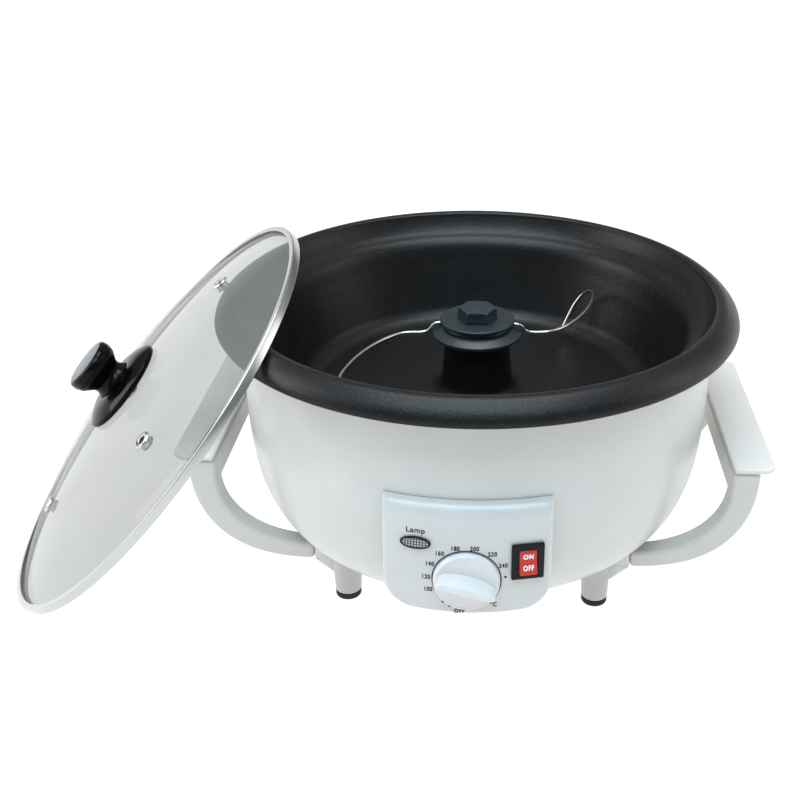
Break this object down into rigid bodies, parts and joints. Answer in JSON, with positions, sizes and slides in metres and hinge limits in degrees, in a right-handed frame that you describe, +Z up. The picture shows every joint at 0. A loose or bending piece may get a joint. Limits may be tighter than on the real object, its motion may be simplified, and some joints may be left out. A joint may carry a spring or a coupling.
{
  "type": "coffee bean roaster",
  "caption": "Countertop coffee bean roaster: round white body on legs, black stirred pan with wire stirrer, front dial and switch, side handles and a loose glass lid leaning beside it.",
  "frame": {"origin": "Bottom centre of the whole object's box on the counter plane, the leaning lid included, so the pan's upright axis stands at x 0.0573 m, y 0.0043 m.", "axes": "+Z is up. -Y is the front, with the control panel. +X is the viewer's right; the lid leans on the -X side. The box is longest along X and lowest along Z."},
  "size_m": [0.4724, 0.3286, 0.2072],
  "materials": {
    "cover_white": "white satin",
    "bracket_white": "white satin",
    "inlet_rubber": "black",
    "hub_plastic": "dark slate",
    "panel_gloss_white": "white gloss, printed dial",
    "screw_zinc": "galvanised",
    "shaft_steel": "ground",
    "foot_rubber": "black",
    "gearbox_zinc": "galvanised",
    "handle_white": "white matt",
    "zinc_sheet": "galvanised",
    "heater_steel": "dull",
    "housing_white": "white satin",
    "knob_black": "black gloss",
    "lamp_window": "dark window with a fine grid",
    "leg_white": "white satin",
    "polished_band": "polished",
    "tinted_glass": "clear, faint grey tint",
    "lid_fastener_steel": "polished",
    "motor_black": "black",
    "lamp_glass": "amber glow lamp",
    "rocker_red": "red, moulded",
    "pan_coating": "black non-stick coating with fine sparkle",
    "post_steel": "plain",
    "wire_steel": "bright",
    "switch_black": "black",
    "dial_white": "white gloss",
    "block_ceramic": "ivory ceramic",
    "fuse_ceramic": "ivory ceramic",
    "thermostat_ceramic": "ivory ceramic",
    "shaft_zinc": "galvanised",
    "eyelet_steel": "polished"
  },
  "bodies": {
    "roaster_base": {"bottom_cover": "cover_white", "bracket_back_left": "bracket_white", "bracket_back_right": "bracket_white", "bracket_front_left": "bracket_white", "bracket_front_right": "bracket_white", "cable_inlet": "inlet_rubber", "control_panel": "panel_gloss_white", "cover_screw_1": "screw_zinc", "cover_screw_2": "screw_zinc", "cover_screw_3": "screw_zinc", "foot_back_left": "foot_rubber", "foot_back_right": "foot_rubber", "foot_front_left": "foot_rubber", "foot_front_right": "foot_rubber", "gearbox": "gearbox_zinc", "handle_left": "handle_white", "handle_plate_left": "handle_white", "handle_plate_right": "handle_white", "handle_right": "handle_white", "heat_shield": "zinc_sheet", "heating_element": "heater_steel", "housing_bowl": "housing_white", "lamp_lens": "lamp_window", "leg_back_left": "leg_white", "leg_back_right": "leg_white", "leg_front_left": "leg_white", "leg_front_right": "leg_white", "motor": "motor_black", "motor_screw_1": "screw_zinc", "motor_screw_2": "screw_zinc", "neon_lamp": "lamp_glass", "roasting_pan": "pan_coating", "shield_post_1": "post_steel", "shield_post_2": "post_steel", "shield_post_3": "post_steel", "switch_housing": "switch_black", "terminal_block": "block_ceramic", "thermal_fuse": "fuse_ceramic", "thermostat_body": "thermostat_ceramic"},
    "stirrer": {"drive_shaft": "shaft_steel", "stirrer_hub": "hub_plastic", "stirrer_wire_left": "wire_steel", "stirrer_wire_right": "wire_steel", "clamp_disc": "hub_plastic", "hub_nut": "hub_plastic"},
    "dial": {"temperature_knob": "dial_white", "thermostat_shaft": "shaft_zinc"},
    "rocker": {"power_rocker": "rocker_red"},
    "lid": {"lid_glass": "tinted_glass", "lid_band": "polished_band", "lid_knob": "knob_black", "knob_skirt": "knob_black", "lid_screw": "lid_fastener_steel", "lid_washer": "lid_fastener_steel", "vent_eyelet_1": "eyelet_steel", "vent_eyelet_2": "eyelet_steel", "vent_eyelet_3": "eyelet_steel"}
  },
  "joints": [
    {"name": "stirrer_spin", "type": "hinge", "parent": "roaster_base", "child": "stirrer", "pos_m": [0.0573, 0.00428, 0.15], "axis": [0, 0, 1], "continuous": true},
    {"name": "temperature_knob_turn", "type": "hinge", "parent": "roaster_base", "child": "dial", "pos_m": [0.0573, -0.14922, 0.0688], "axis": [0, 1, 0], "range_deg": [-88, 143]},
    {"name": "power_rocker_tip", "type": "hinge", "parent": "roaster_base", "child": "rocker", "pos_m": [0.08933, -0.14502, 0.0804], "axis": [0.9777, 0.2098, 0], "range_deg": [0, 18]},
    {"name": "lid_lift", "type": "slide", "parent": "roaster_base", "child": "lid", "axis": [-0.7252, -0.1728, 0.6665], "range_m": [0, 0.22]}
  ]
}
